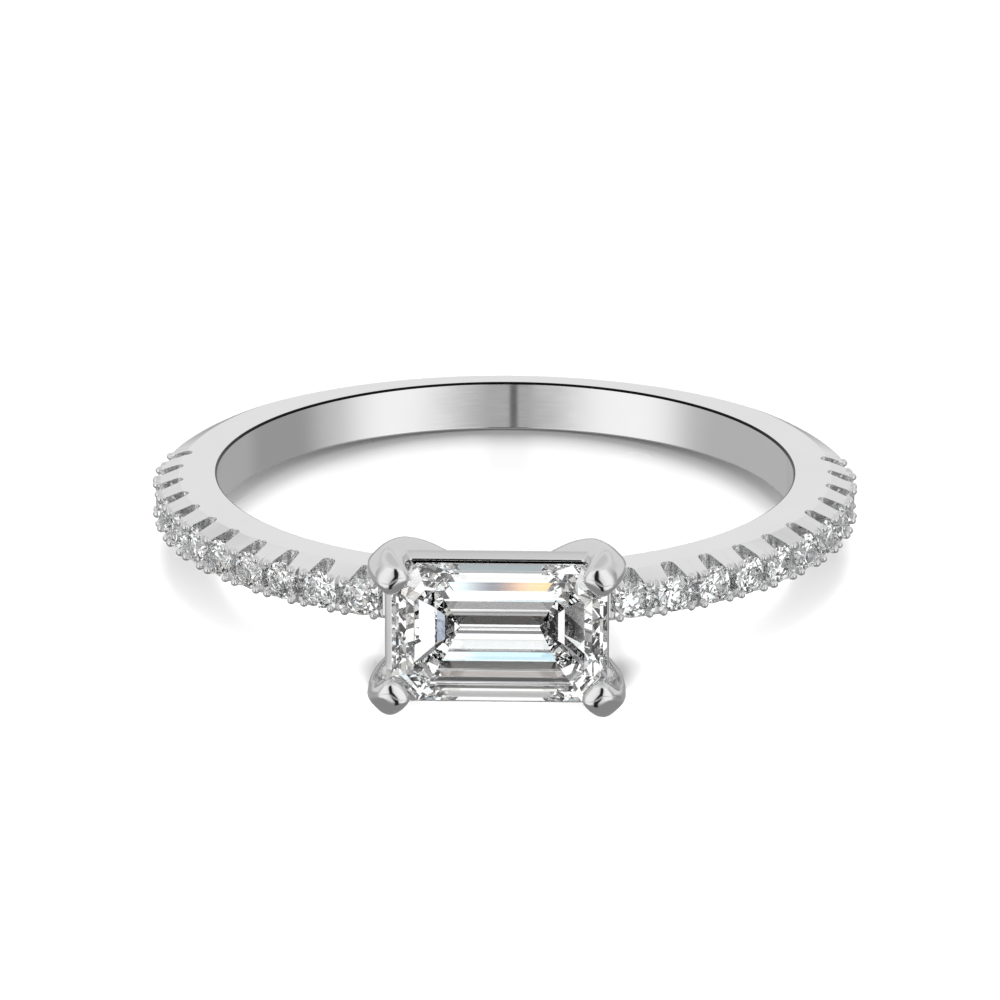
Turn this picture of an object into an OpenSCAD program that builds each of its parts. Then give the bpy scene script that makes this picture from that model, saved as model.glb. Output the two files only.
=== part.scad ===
// Emerald-cut ring: a narrow white metal band with round side stones in U-shaped windows
// on both shoulders, and a four-claw basket that holds a step-cut stone across the finger.
// Ring frame: the finger hole runs along Z and the head points to -Y.
// The whole ring is then tipped so that it rests on its two lower claws and on the far edge
// of the band, with the origin at the centre of the finger hole.

/* [Band] */
// Inner diameter of the band
bore_d = 16.9; // [16.7:0.1:17.1]
// Width of the band along the finger
band_w = 1.5; // [1.45:0.05:1.6]
// Outer radius of the shoulders
shoulder_r = 10.25; // [10.2:0.05:10.35]
// Radius where the bevel of the shoulders starts
bevel_r = 9.52; // [9.45:0.01:9.6]
// Half width of the shoulders at their outer radius
shoulder_half = 0.48; // [0.45:0.01:0.55]
// Thickness of the plain band at the back
back_t = 0.8; // [0.75:0.05:0.9]
// How far the outer circle of the plain band is shifted towards the head
taper_shift = 1.12; // [1.05:0.01:1.2]
// Height of the flat seat under the head, above the finger's centre
seat_h = 9.8; // [9.7:0.05:9.85]

/* [Side stones] */
// Number of round stones on each shoulder
side_count = 11; // [6:1:11]
// Diameter of a round stone
side_d = 1.1; // [1.0:0.05:1.15]
// Angle from the head to the first round stone
side_first = 22.3; // [22:0.1:23]
// Angle between two round stones
side_step = 7.54; // [7.4:0.02:7.7]
// Depth of the girdle of a round stone under the outer face
side_sink = 0.18; // [0.16:0.01:0.22]

/* [Centre stone] */
// Length of the stone across the finger
stone_l = 5.96; // [5.8:0.02:6]
// Width of the stone along the finger
stone_w = 4.0; // [3.9:0.05:4.1]
// Corner cut of the stone, measured along its sides
stone_cut = 0.7; // [0.6:0.05:0.8]
// Height of the girdle above the finger's centre
girdle_h = 12.17; // [12.1:0.01:12.22]
// Height of the crown above the girdle
crown_h = 0.5; // [0.45:0.05:0.55]
// Depth of the pavilion below the girdle
pavilion_h = 1.9; // [1.8:0.05:1.95]
// Sideways offset of the stone in its basket
stone_shift = 0.08; // [0:0.02:0.1]

/* [Basket] */
// Outer length of the rail across the finger
rail_l = 6.26; // [6.2:0.02:6.34]
// Outer width of the rail along the finger
rail_w = 4.44; // [4.4:0.02:4.6]
// Thickness of the rail
rail_t = 0.26; // [0.26:0.01:0.3]
// Height of the rail
rail_h = 0.65; // [0.55:0.05:0.75]
// How far the rail leans inwards at its lower edge
rail_lean = 0.25; // [0.15:0.05:0.3]
// Sideways offset of the basket on the band
basket_shift = 0.06; // [0:0.02:0.1]
// Clearance between every stone and its seat
gap = 0.03; // [0.02:0.01:0.05]

/* [Hidden] */
$fn = 96;
SIDES = ["left", "right"];

METAL = [0.84, 0.85, 0.86];
CLEAR = [0.93, 0.95, 0.98];

bore_r = bore_d / 2;
half_w = band_w / 2;
back_r = bore_r + back_t;
plain_r = back_r + taper_shift;
outer_edge = 0.13;
inner_edge = 0.05;
margin = 0.5;

// Windows, channel and beads of the shoulders
window_low = 0.57;
window_r = 0.23;
window_half = 0.21;
window_rim = 0.34;
window_depth = 0.5;
channel_half = 0.27;
channel_sink = 0.42;
split_sink = 0.2;
split_half = 0.11;
bead_r = 0.135;
bead_z = 0.45;
bead_side = 0.22;
bead_rise = -0.03;

// Round stone proportions, as parts of its diameter
side_table = 0.56;
side_star = 0.77;
side_star_rise = 0.62;
side_crown = 0.16;
side_girdle = 0.03;
side_pavilion = 0.43;

// Depth of the rail's upper edge below the girdle, and the slope along it: inwards, down
rail_drop = 0.37;
rail_round = [0.24, 0.16];
// Ledge inside the rail: how far it reaches inwards, and how far it lies below the upper edge
rail_ledge = [0.2, 0.18];
slice_t = 0.01;

// Centre stone levels: rows of [height, half length, half width, corner cut], bottom to top
LEVEL_H = 0;
LEVEL_L = 1;
LEVEL_W = 2;
LEVEL_C = 3;
girdle_t = 0.08;
keel_half = 1.1;

// Claw sections: rows of [across, along, height, half depth, half width], foot to tip
claw_sides = 24;
claw_turns = 3;
claw_square = 2.9;
foot_h = seat_h - 0.75;
claw_path = [
    [0.80, 0.44, foot_h, 0.33, 0.39],
    [1.10, 0.70, foot_h + 0.30, 0.36, 0.42],
    [1.62, 1.06, foot_h + 0.67, 0.38, 0.47],
    [2.22, 1.42, foot_h + 1.15, 0.43, 0.56],
    [2.70, 1.68, foot_h + 1.75, 0.465, 0.61],
    [2.94, 1.81, foot_h + 2.35, 0.475, 0.60],
    [3.03, 1.89, foot_h + 2.90, 0.485, 0.53],
    [3.02, 1.88, foot_h + 3.22, 0.45, 0.51],
    [2.94, 1.80, foot_h + 3.45, 0.375, 0.49],
    [2.82, 1.68, foot_h + 3.57, 0.29, 0.47],
    [2.70, 1.56, foot_h + 3.60, 0.21, 0.43],
    [2.60, 1.46, foot_h + 3.57, 0.13, 0.29]
];

// The ring leans until its lower claws and the far edge of the band touch the ground
claw_low = 2.46;
claw_low_h = 11.9;
tilt = atan((claw_low - half_w) / (claw_low_h + back_r - outer_edge));

function side_name(side, i) = str("side_stone_", side, "_", i < 9 ? "0" : "", i + 1);
function side_angle(side, i) = (side == "left" ? -1 : 1) * (side_first + side_step * i);

// Radius of the outer face at an angle from the head: the smaller of the two outer circles
function plain_reach(a) = taper_shift * cos(a) + sqrt(pow(plain_r, 2) - pow(taper_shift * sin(a), 2));
function outer_reach(a) = min(shoulder_r, plain_reach(a));

// Octagon with its four corners cut, as eight points
function octagon(l, w, c) = [
    [l, w - c], [l - c, w], [c - l, w], [-l, w - c],
    [-l, c - w], [c - l, -w], [l - c, -w], [l, c - w]
];

// Places children on the shoulders: local X runs outwards, Y along the band, Z along the finger
module on_band(a) rotate([0, 0, a - 90]) children();

// Stands children up in the head: local X stays, local Y runs along the finger, Z points outwards
module in_head() rotate([90, 0, 0]) children();

module rest_pose() rotate([-tilt, 0, 0]) children();

// Half outline of the plain band: straight faces and a rounded outer edge
function plain_half() = [for (a = [0 : 22.5 : 90])
    [plain_r + outer_edge * (cos(a) - 1), half_w - outer_edge * (1 - sin(a))]];

// Half outline of the shoulders: faces that bevel in towards the side stones
function shoulder_half_outline() = [
    [shoulder_r, shoulder_half - 0.09],
    [shoulder_r - 0.03, shoulder_half - 0.02],
    [shoulder_r - 0.09, shoulder_half + 0.03],
    [bevel_r, half_w]
];

// Solid disc with the same half outline above and below
module disc(half) {
    below = [for (i = [len(half) - 1 : -1 : 0]) [half[i][0], -half[i][1]]];
    rotate_extrude() polygon(concat([[0, half_w], [0, -half_w]], below, half));
}

module finger_hole() {
    rotate_extrude()
        polygon([
            [0, -half_w - margin],
            [bore_r + inner_edge + margin, -half_w - margin],
            [bore_r, -half_w + inner_edge],
            [bore_r, half_w - inner_edge],
            [bore_r + inner_edge + margin, half_w + margin],
            [0, half_w + margin]
        ]);
}

module band_blank() {
    difference() {
        intersection() {
            disc(shoulder_half_outline());
            translate([0, -taper_shift, 0]) disc(plain_half());
        }
        finger_hole();
        translate([-plain_r, -seat_h - plain_r, -band_w]) cube([2 * plain_r, plain_r, 2 * band_w]);
    }
}

// Seat for one round stone: open above the girdle, a cone for the pavilion
module side_seat(reach) {
    girdle = reach - side_sink;
    seat_r = side_d / 2 + gap;
    translate([girdle - side_d * side_pavilion - 2 * gap, 0, 0])
        rotate([0, 90, 0])
            rotate_extrude()
                polygon([
                    [0, 0],
                    [0.08, 0],
                    [seat_r, side_d * side_pavilion],
                    [seat_r, side_d * side_pavilion + margin],
                    [0, side_d * side_pavilion + margin]
                ]);
}

// U-shaped window in one face of the band, which shows the stone from the side
module side_window(reach) {
    low = reach - window_low;
    translate([0, 0, half_w - window_depth]) {
        translate([low, 0, 0]) cylinder(r = window_r, h = window_depth + margin, $fn = 48);
        linear_extrude(window_depth + margin)
            polygon([
                [low, -window_half],
                [reach + outer_edge, -window_rim],
                [reach + outer_edge, window_rim],
                [low, window_half]
            ]);
    }
}

// Groove that splits a finger of metal between two stones into two beads
module finger_split(reach) {
    translate([0, 0, -half_w - margin])
        linear_extrude(band_w + 2 * margin)
            polygon([
                [reach - split_sink, 0],
                [reach + outer_edge, -split_half],
                [reach + outer_edge, split_half]
            ]);
}

// Channel that runs under the stones of one shoulder
module shoulder_channel(side) {
    half_step = side_step / 2;
    from = side_first - half_step;
    span = side_step * side_count;
    start = side == "left" ? -from - span : from;
    rotate([0, 0, start - 90])
        rotate_extrude(angle = span)
            translate([shoulder_r - channel_sink, -channel_half])
                square([channel_sink + margin, 2 * channel_half]);
}

module side_cuts(side) {
    shoulder_channel(side);
    for (i = [0 : side_count - 1]) {
        a = side_angle(side, i);
        on_band(a) {
            side_seat(outer_reach(a));
            side_window(outer_reach(a));
            mirror([0, 0, 1]) side_window(outer_reach(a));
        }
    }
    for (i = [0 : side_count]) {
        a = side_angle(side, i - 0.5);
        on_band(a) finger_split(outer_reach(a));
    }
}

// Two pairs of beads hold each stone, one pair on each face
module side_beads(side) {
    for (i = [0 : side_count - 1])
        for (end = [-1, 1]) {
            reach = outer_reach(side_angle(side, i)) + bead_rise;
            toward = (side == "left" ? 1 : -1) * end;
            on_band(side_angle(side, i + end / 2))
                for (face = [-1, 1])
                    translate([reach, toward * bead_side, face * bead_z])
                        sphere(r = bead_r, $fn = 24);
        }
}

module band() {
    difference() {
        band_blank();
        for (side = SIDES) side_cuts(side);
    }
    for (side = SIDES) side_beads(side);
}

// Octagonal slab that follows the rail's outer edge, set in by a distance
module rail_slab(inset, low, thickness) {
    translate([0, 0, low])
        linear_extrude(thickness)
            polygon(octagon(rail_l / 2 - inset, rail_w / 2 - inset, stone_cut));
}

// Frame under the girdle with a ledge inside, its corners hidden in the claws
module rail() {
    in_head()
        translate([0, 0, girdle_h - rail_drop - rail_h])
            difference() {
                hull() {
                    rail_slab(rail_round[0], rail_h - slice_t, slice_t);
                    rail_slab(0, rail_h - rail_round[1] - slice_t, slice_t);
                    rail_slab(rail_lean, 0, slice_t);
                }
                rail_slab(rail_t + rail_ledge[0], -margin, rail_h + 2 * margin);
                rail_slab(rail_t, rail_h - rail_ledge[1], rail_h + margin);
            }
}

// Smooth curve through the rows of a table, at row number t
function row(table, i) = table[max(0, min(len(table) - 1, i))];
function blend(table, t) =
    let (i = min(floor(t), len(table) - 2), f = t - i)
    let (p = row(table, i - 1), q = row(table, i), r = row(table, i + 1), s = row(table, i + 2))
    0.5 * (2 * q + (r - p) * f + (2 * p - 5 * q + 4 * r - s) * f * f + (3 * q - p - 3 * r + s) * f * f * f);

function part(v, from, to) = [for (i = [from : to]) v[i]];
function unit(v) = v / norm(v);

// Cosine of a rounded square
function square_cos(a) = sign(cos(a)) * pow(abs(cos(a)), 2 / claw_square);

// One ring of points round the claw's centre line at row number t
function claw_ring(t) =
    let (here = blend(claw_path, t))
    let (run = unit(part(blend(claw_path, t + 0.05), 0, 2) - part(blend(claw_path, max(0, t - 0.05)), 0, 2)))
    let (corner = unit([-1, 1, 0]))
    let (wide = unit(corner - (corner * run) * run))
    let (deep = cross(wide, run))
    [for (k = [0 : claw_sides - 1])
        let (a = 360 * k / claw_sides)
        part(here, 0, 2) + here[3] * square_cos(a) * deep + here[4] * square_cos(a - 90) * wide];

module claw() {
    steps = (len(claw_path) - 1) * claw_turns;
    last = steps * claw_sides;
    rings = [for (s = [0 : steps]) each claw_ring(min(s / claw_turns, len(claw_path) - 1.001))];
    faces = concat(
        [[for (k = [0 : claw_sides - 1]) k]],
        [for (s = [0 : steps - 1]) for (k = [0 : claw_sides - 1])
            let (n = (k + 1) % claw_sides)
            [s * claw_sides + k, (s + 1) * claw_sides + k, (s + 1) * claw_sides + n, s * claw_sides + n]],
        [[for (k = [claw_sides - 1 : -1 : 0]) last + k]]
    );
    polyhedron(rings, faces);
}

module basket() {
    difference() {
        translate([basket_shift, 0, 0]) {
            rail();
            in_head()
                for (x = [0, 1]) for (y = [0, 1])
                    mirror([x, 0, 0]) mirror([0, y, 0]) claw();
        }
        step_cut(gap);
        finger_hole();
    }
}

module ring_metal() {
    color(METAL)
        rest_pose() {
            band();
            basket();
        }
}

// Levels of the step-cut stone, grown outwards by g
function crown_row(h, inset, g) = [
    h + g,
    stone_l / 2 - inset + g,
    stone_w / 2 - inset + g,
    stone_cut - inset * (2 - sqrt(2))
];
function stone_levels(g) = [
    [-pavilion_h * 0.68, 1.80 + g, 0.88 + g, 0.25],
    [-pavilion_h * 0.34, 2.45 + g, 1.52 + g, 0.45],
    [-girdle_t / 2 - g, stone_l / 2 + g, stone_w / 2 + g, stone_cut],
    [girdle_t / 2 + g, stone_l / 2 + g, stone_w / 2 + g, stone_cut],
    crown_row(crown_h * 0.46, 0.20, g),
    crown_row(crown_h * 0.78, 0.41, g),
    crown_row(crown_h, 0.62, g)
];

// Octagonal step cut: flat table, stepped crown and pavilion, and a keel line below
module step_cut(g = 0) {
    levels = stone_levels(g);
    count = len(levels);
    keel = 8 * count;
    points = concat(
        [for (l = levels) for (p = octagon(l[LEVEL_L], l[LEVEL_W], l[LEVEL_C])) [p[0], p[1], l[LEVEL_H]]],
        [[keel_half, 0, -pavilion_h - 1.4 * g], [-keel_half, 0, -pavilion_h - 1.4 * g]]
    );
    walls = [for (s = [0 : count - 2]) for (k = [0 : 7])
        let (n = (k + 1) % 8)
        [8 * s + k, 8 * s + 8 + k, 8 * s + 8 + n, 8 * s + n]];
    faces = concat(
        walls,
        [[for (k = [7 : -1 : 0]) keel - 8 + k]],
        [[keel, 0, 1], [keel, 1, 2, keel + 1], [keel + 1, 2, 3], [keel + 1, 3, 4],
         [keel + 1, 4, 5], [keel + 1, 5, 6, keel], [keel, 6, 7], [keel, 7, 0]]
    );
    in_head() translate([basket_shift + stone_shift, 0, girdle_h]) polyhedron(points, faces);
}

module centre_stone() {
    color(CLEAR) rest_pose() step_cut();
}

// Round brilliant with an eight-sided table, standing on its culet along +X
module brilliant() {
    r = side_d / 2;
    top = side_d * side_crown;
    half_girdle = side_d * side_girdle / 2;
    function ring(radius, count, turn, h) =
        [for (k = [0 : count - 1]) [h, radius * cos(360 * (k + turn) / count), radius * sin(360 * (k + turn) / count)]];
    points = concat(
        [[-side_d * side_pavilion, 0, 0]],
        ring(r, 16, 0, -half_girdle),
        ring(r, 16, 0, half_girdle),
        ring(r * side_star, 8, 0.5, top * side_star_rise),
        ring(r * side_table, 8, 0, top)
    );
    low = 1;
    high = 17;
    star = 33;
    table = 41;
    faces = concat(
        [for (k = [0 : 15]) [0, low + k, low + (k + 1) % 16]],
        [for (k = [0 : 15]) [low + k, high + k, high + (k + 1) % 16, low + (k + 1) % 16]],
        [for (k = [0 : 7]) each
            let (here = high + 2 * k, mid = high + 2 * k + 1, next = high + (2 * k + 2) % 16)
            let (s = star + k, before = star + (k + 7) % 8, t = table + k, t_next = table + (k + 1) % 8)
            [[here, s, mid], [mid, s, next], [s, t, t_next], [here, t, s], [here, before, t]]],
        [[for (k = [7 : -1 : 0]) table + k]]
    );
    polyhedron(points, faces);
}

module side_stone(side, i) {
    a = side_angle(side, i);
    color(CLEAR)
        rest_pose()
            on_band(a)
                translate([outer_reach(a) - side_sink, 0, 0]) brilliant();
}

ring_metal();
centre_stone();
for (side = SIDES) for (i = [0 : side_count - 1])
    side_stone(side, i);
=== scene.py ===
"""Emerald-cut ring lying on its side: polished band with scalloped shoulders, claw head and cut stones.

Shapes are made in millimetres in the ring's own frame, with Z along the finger and the head towards -Y.
place() then moves each finished piece into the row's frame, in metres.
"""
import math

import bmesh
import bpy
import numpy as np
from mathutils import Matrix, Vector


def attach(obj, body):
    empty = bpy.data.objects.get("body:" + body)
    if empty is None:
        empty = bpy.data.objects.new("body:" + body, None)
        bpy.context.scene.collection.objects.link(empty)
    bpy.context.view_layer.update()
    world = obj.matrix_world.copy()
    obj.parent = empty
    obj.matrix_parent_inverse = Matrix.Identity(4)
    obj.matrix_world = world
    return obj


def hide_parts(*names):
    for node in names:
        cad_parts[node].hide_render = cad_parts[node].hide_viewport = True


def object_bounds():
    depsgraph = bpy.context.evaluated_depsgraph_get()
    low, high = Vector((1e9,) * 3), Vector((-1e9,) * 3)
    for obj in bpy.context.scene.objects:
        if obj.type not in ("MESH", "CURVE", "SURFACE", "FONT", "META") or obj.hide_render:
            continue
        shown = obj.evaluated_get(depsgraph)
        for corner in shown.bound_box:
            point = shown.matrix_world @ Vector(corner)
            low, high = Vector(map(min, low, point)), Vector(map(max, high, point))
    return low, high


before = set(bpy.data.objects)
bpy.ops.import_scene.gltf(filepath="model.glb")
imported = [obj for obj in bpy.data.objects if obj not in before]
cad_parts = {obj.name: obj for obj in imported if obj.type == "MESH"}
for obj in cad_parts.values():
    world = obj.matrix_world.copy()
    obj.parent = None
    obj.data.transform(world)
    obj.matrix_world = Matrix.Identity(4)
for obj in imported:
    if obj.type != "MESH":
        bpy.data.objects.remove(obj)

CAD_LOW, CAD_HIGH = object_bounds()
MM = 0.001

# How far a cutting shape reaches past what it cuts, in millimetres as all sizes down to the pose
OVERCUT = 0.5

# Band: its outer circle is larger than the back's and moved towards the head, so the band tapers to the back
BORE_R = 8.45  # finger hole
HALF_W = 0.75  # half the band's width along the finger
SHOULDER_R = 10.25  # outer face of the shoulders
BEVEL_R = 9.52  # where the shoulders' bevel meets the side face
SHOULDER_HALF = 0.48  # half width of the shoulders' outer face
BACK_T = 0.8  # metal at the back
BACK_R = BORE_R + BACK_T
TAPER_SHIFT = 1.12  # how far the outer circle lies towards the head
PLAIN_R = BACK_R + TAPER_SHIFT
SEAT_H = 9.8  # flat under the head
SEAT_BLOCK = 5  # height of the block that cuts it
OUTER_EDGE = 0.13
INNER_EDGE = 0.066
CORE_R = BORE_R - 2  # inner end of the blank, inside the finger hole
BAND_TURNS = 720
EDGE_STEPS = 9
LIP_STEPS = 6
LIP_TURN = 80
# Rounded corners of the shoulders' bevel: steps in radius and height from its outer and from its inner corner
BEVEL_OUTER = [(0, -0.10), (-0.012, -0.06), (-0.035, -0.02), (-0.09, 0.03)]
BEVEL_INNER = [(0.05, -0.0165), (0, -0.002), (-0.05, 0)]
# Mouth of the shape that cuts the finger hole: steps in radius and height from the edge of the band's wall
HOLE_MOUTH = [(0.6, 0.1), (0.6, 0.3)]

# Shoulders: round stones, with the angle of the first one from the head and the step between two in degrees
SIDE_COUNT = 11
SIDE_D = 1.1
SIDE_FIRST = 22.3
SIDE_STEP = 7.54
SIDE_SINK = 0.18  # girdle under the outer face
SIDE_TWIST = 0.35  # largest turn of a stone in its seat, in radians
SIDE_SEED = 7
SIDES = {"left": -1, "right": 1}
WINDOW_LOW = 0.57  # centre of the window's bow, under the outer face
WINDOW_R = 0.23  # radius of the bow
WINDOW_RIM = 0.34  # half width of the window at the outer face
WINDOW_DEPTH = 0.5  # from the side face inwards
WINDOW_STEPS = 17
SEAT_FOOT_R = 0.08  # lower end of a round seat
SEAT_SIDES = 40
CHANNEL_HALF = 0.27  # half width of the groove under the stones
CHANNEL_SINK = 0.42  # its depth
CHANNEL_STEPS = 121
SPLIT_SINK = 0.2  # depth of the groove between two beads
SPLIT_HALF = 0.11  # half its width
BEAD_R = 0.118
BEAD_Z = 0.45  # distance from the band's middle plane
BEAD_SIDE = 0.22  # distance from the middle of the finger of metal
BEAD_RISE = -0.05  # centre above the outer face
BEAD_SIZES = (0.93, 1.06)
BEAD_STRETCH = 1.12  # outwards
BEAD_SEGMENTS = 20
BEAD_RINGS = 12
BEAD_SEED = 3

# Round stone: table and stars as parts of its radius, the rest as parts of its diameter
ROUND_TABLE = 0.58
ROUND_STAR = 0.80
ROUND_CROWN = 0.16
ROUND_DEEP = 0.43
ROUND_GIRDLE = 0.02

# Centre stone: the pavilion's rows are (part of its depth, half length, half width, corner cut), from the keel
# up, and the crown's are (part of its height, inset from the girdle)
STONE_L = 5.96
STONE_W = 4.0
STONE_CUT = 0.7
GIRDLE_H = 12.17  # girdle above the finger's axis
GIRDLE_T = 0.08
CROWN_H = 0.5
PAVILION_H = 1.9
KEEL_HALF = 1.1  # half length of the lowest line
STONE_SHIFT = 0.08  # sideways in the basket
PAVILION_ROWS = [(0.68, 1.80, 0.88, 0.25), (0.34, 2.45, 1.52, 0.45)]
CROWN_ROWS = [(0.46, 0.20), (0.78, 0.41), (1.0, 0.62)]

# Basket: the rail's slopes are (inwards, down), and its ledge is (inwards, down, rise)
BASKET_SHIFT = 0.06  # sideways on the band
RAIL_L = 6.26
RAIL_W = 4.48
RAIL_T = 0.26
RAIL_H = 0.65
RAIL_LEAN = 0.25  # inwards at the lower edge
RAIL_DROP = 0.37  # upper edge below the girdle
RAIL_TOP = GIRDLE_H - RAIL_DROP
RAIL_ROUND = (0.24, 0.16)
RAIL_LEDGE = (0.2, 0.18, 0.085)
RAIL_CUT = 0.45  # cut corners
RAIL_NEAR = 0.03  # towards the lower side
RAIL_PAST = (0.3, 0.02)  # cutting shape past the foot and the top
GAP = 0.03  # clearance round every stone
KEEL_GAP = 1.4  # the same under the keel, in gaps
FOOT_H = SEAT_H - 0.75  # start of the claws, inside the band
CLAW_SQUARE = 2.9  # 2 is a round claw, more is squarer
CLAW_SIDES = 48
CLAW_RINGS = 110
CLAW_STEP = 0.05  # part of a row, for the claw's direction
CLAW_END = 0.001  # part of a row left out at the tip
# Claw rows are (across, along, height, half depth, half width), from foot to tip
CLAW_PATH = [
    (0.80, 0.44, FOOT_H, 0.33, 0.39),
    (1.10, 0.70, FOOT_H + 0.30, 0.36, 0.42),
    (1.62, 1.06, FOOT_H + 0.67, 0.38, 0.47),
    (2.22, 1.42, FOOT_H + 1.15, 0.43, 0.56),
    (2.70, 1.68, FOOT_H + 1.75, 0.465, 0.61),
    (2.94, 1.81, FOOT_H + 2.35, 0.475, 0.60),
    (3.03, 1.89, FOOT_H + 2.90, 0.485, 0.53),
    (3.02, 1.88, FOOT_H + 3.22, 0.45, 0.51),
    (2.94, 1.80, FOOT_H + 3.45, 0.375, 0.49),
    (2.82, 1.68, FOOT_H + 3.57, 0.29, 0.47),
    (2.70, 1.56, FOOT_H + 3.60, 0.21, 0.43),
    (2.60, 1.46, FOOT_H + 3.57, 0.13, 0.29),
]
HEAD_VOXEL = 0.036
HEAD_SOFTENING = (0.5, 9)  # strength, rounds

# Marks on the mesh where painted shade darkens the metal, with the slack that keeps neighbouring faces out
LIP_SLACK = (0.0004, 0.001)  # hole's lip: at the wall, at the side face
CUT_START = (0.05, 0.02)  # side cuts: below the outer face, beside the side face
CUT_FADE = 0.35
WALL_KEPT = 0.1  # wall of the finger hole stays plain
GAP_SLACK = 0.003  # rail: at its inside and its top
GAP_DEPTH = 0.25
GAP_FROM = 0.8

# Angles at which an edge between two faces stays crisp, in degrees
BAND_CRISP = 28
HEAD_CRISP = 38
BEAD_CRISP = 60
STONE_CRISP = 0.5

# The ring leans on its two lower claws and on the far edge of the band
CLAW_LOW = 2.46  # lowest point of the claws, from the band's middle plane
CLAW_LOW_H = 11.9  # and above the finger's axis
LEAN = math.atan((CLAW_LOW - HALF_W) / (CLAW_LOW_H + BACK_R - OUTER_EDGE))
POSE = Matrix.Rotation(-LEAN, 4, "X") @ Matrix.Scale(MM, 4)

# Camera, turned round the ring in degrees, with its distance and sensor in millimetres
VIEW_TURN = 1.4
VIEW_RISE = 18.42
VIEW_DISTANCE = 200
VIEW_LENS = 245.1
VIEW_SENSOR = 36
VIEW_SHIFT = (-0.0051, -0.0068)
VIEW_CLIP = (0.01, 10)


# Mesh helpers

def skin(rings, loop=False):
    """Quads between rings of equal length; the ends are closed, or joined to each other in a loop."""
    count, size = len(rings), len(rings[0])
    verts = [tuple(p) for ring in rings for p in ring]
    faces = []
    for s in range(count if loop else count - 1):
        here, there = s * size, (s + 1) % count * size
        for k in range(size):
            n = (k + 1) % size
            faces.append((here + k, there + k, there + n, here + n))
    if not loop:
        faces.append(tuple(range(size - 1, -1, -1)))
        faces.append(tuple((count - 1) * size + k for k in range(size)))
    return verts, faces


def joined(parts):
    """One list of vertices and faces from several."""
    verts, faces = [], []
    for v, f in parts:
        base = len(verts)
        verts += v
        faces += [tuple(i + base for i in face) for face in f]
    return verts, faces


def solid(name, shape):
    """A mesh object with its faces turned outwards, in millimetres and in the ring's own frame."""
    mesh = bpy.data.meshes.new(name)
    mesh.from_pydata(shape[0], [], shape[1])
    bm = bmesh.new()
    bm.from_mesh(mesh)
    bmesh.ops.recalc_face_normals(bm, faces=bm.faces)
    bm.to_mesh(mesh)
    bm.free()
    obj = bpy.data.objects.new(name, mesh)
    bpy.context.scene.collection.objects.link(obj)
    return obj


def drop(obj):
    """Deletes an object and its mesh."""
    mesh = obj.data
    bpy.data.objects.remove(obj)
    if mesh.users == 0:
        bpy.data.meshes.remove(mesh)


def settle(obj):
    """Applies the modifiers of an object by swapping in its evaluated mesh."""
    graph = bpy.context.evaluated_depsgraph_get()
    made = bpy.data.meshes.new_from_object(obj.evaluated_get(graph))
    old = obj.data
    obj.modifiers.clear()
    obj.data = made
    bpy.data.meshes.remove(old)
    return obj


def combine(obj, tool, how):
    """Cuts, adds or keeps the common part of obj and tool, and deletes tool."""
    mod = obj.modifiers.new(how.lower(), "BOOLEAN")
    mod.operation = how
    mod.object = tool
    mod.solver = "MANIFOLD"
    settle(obj)
    drop(tool)
    return obj


def place(obj, sharp, material):
    """Puts a finished piece into the row's frame in metres, with edges sharper than an angle kept crisp."""
    obj.data.shade_smooth()
    obj.data.set_sharp_from_angle(angle=math.radians(sharp))
    flat = obj.modifiers.new("flat", "WEIGHTED_NORMAL")
    flat.keep_sharp = True
    flat.thresh = 0
    mesh = settle(obj).data
    mesh.transform(POSE)
    mesh.materials.clear()
    mesh.materials.append(material)
    mesh.update()
    return obj


# Band

def plain_reach(a):
    """Radius of the plain, tapered band at an angle from the head."""
    return TAPER_SHIFT * math.cos(a) + math.sqrt(PLAIN_R ** 2 - (TAPER_SHIFT * math.sin(a)) ** 2)


def outer_reach(a):
    """Radius of the band's outer face at an angle from the head."""
    return min(SHOULDER_R, plain_reach(a))


def side_angle(side, i):
    """Angle from the head of stone i on one shoulder; a half lies between two stones."""
    return SIDES[side] * math.radians(SIDE_FIRST + SIDE_STEP * i)


def on_band(a, points):
    """Points with X outwards, Y along the band and Z along the finger, moved to an angle from the head."""
    s, c = math.sin(a), math.cos(a)
    return [(x * s + y * c, -x * c + y * s, z) for x, y, z in points]


def lathe(profile, turns, shift=0.0):
    """A closed outline of (radius, height) points turned round the finger's axis."""
    rings = []
    for k in range(turns):
        a = 2 * math.pi * k / turns
        rings.append([(r * math.sin(a), -r * math.cos(a) - shift, z) for r, z in profile])
    return skin(rings, loop=True)


def arc_points(cx, cy, r, start, end, count):
    """Points on an arc from one angle to another, in degrees."""
    angles = np.radians(np.linspace(start, end, count))
    return [(cx + r * math.cos(t), cy + r * math.sin(t)) for t in angles]


def mirrored_outline(half):
    """An outline from its upper half, closed well inside the finger hole."""
    return [(CORE_R, -HALF_W)] + [(r, -z) for r, z in reversed(half)] + half + [(CORE_R, HALF_W)]


def band_blank():
    """The band before its windows and seats are cut: bevelled shoulders, plain back and a flat for the head."""
    plain = arc_points(PLAIN_R - OUTER_EDGE, HALF_W - OUTER_EDGE, OUTER_EDGE, 0, 90, EDGE_STEPS)
    bevel = [(SHOULDER_R + r, SHOULDER_HALF + z) for r, z in BEVEL_OUTER]
    bevel += [(BEVEL_R + r, HALF_W + z) for r, z in BEVEL_INNER]
    blank = solid("band", lathe(mirrored_outline(bevel), BAND_TURNS))
    outer = solid("outer", lathe(mirrored_outline(plain), BAND_TURNS, TAPER_SHIFT))
    combine(blank, outer, "INTERSECT")
    combine(blank, solid("hole", finger_hole()), "DIFFERENCE")
    return combine(blank, solid("seat", head_seat()), "DIFFERENCE")


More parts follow.
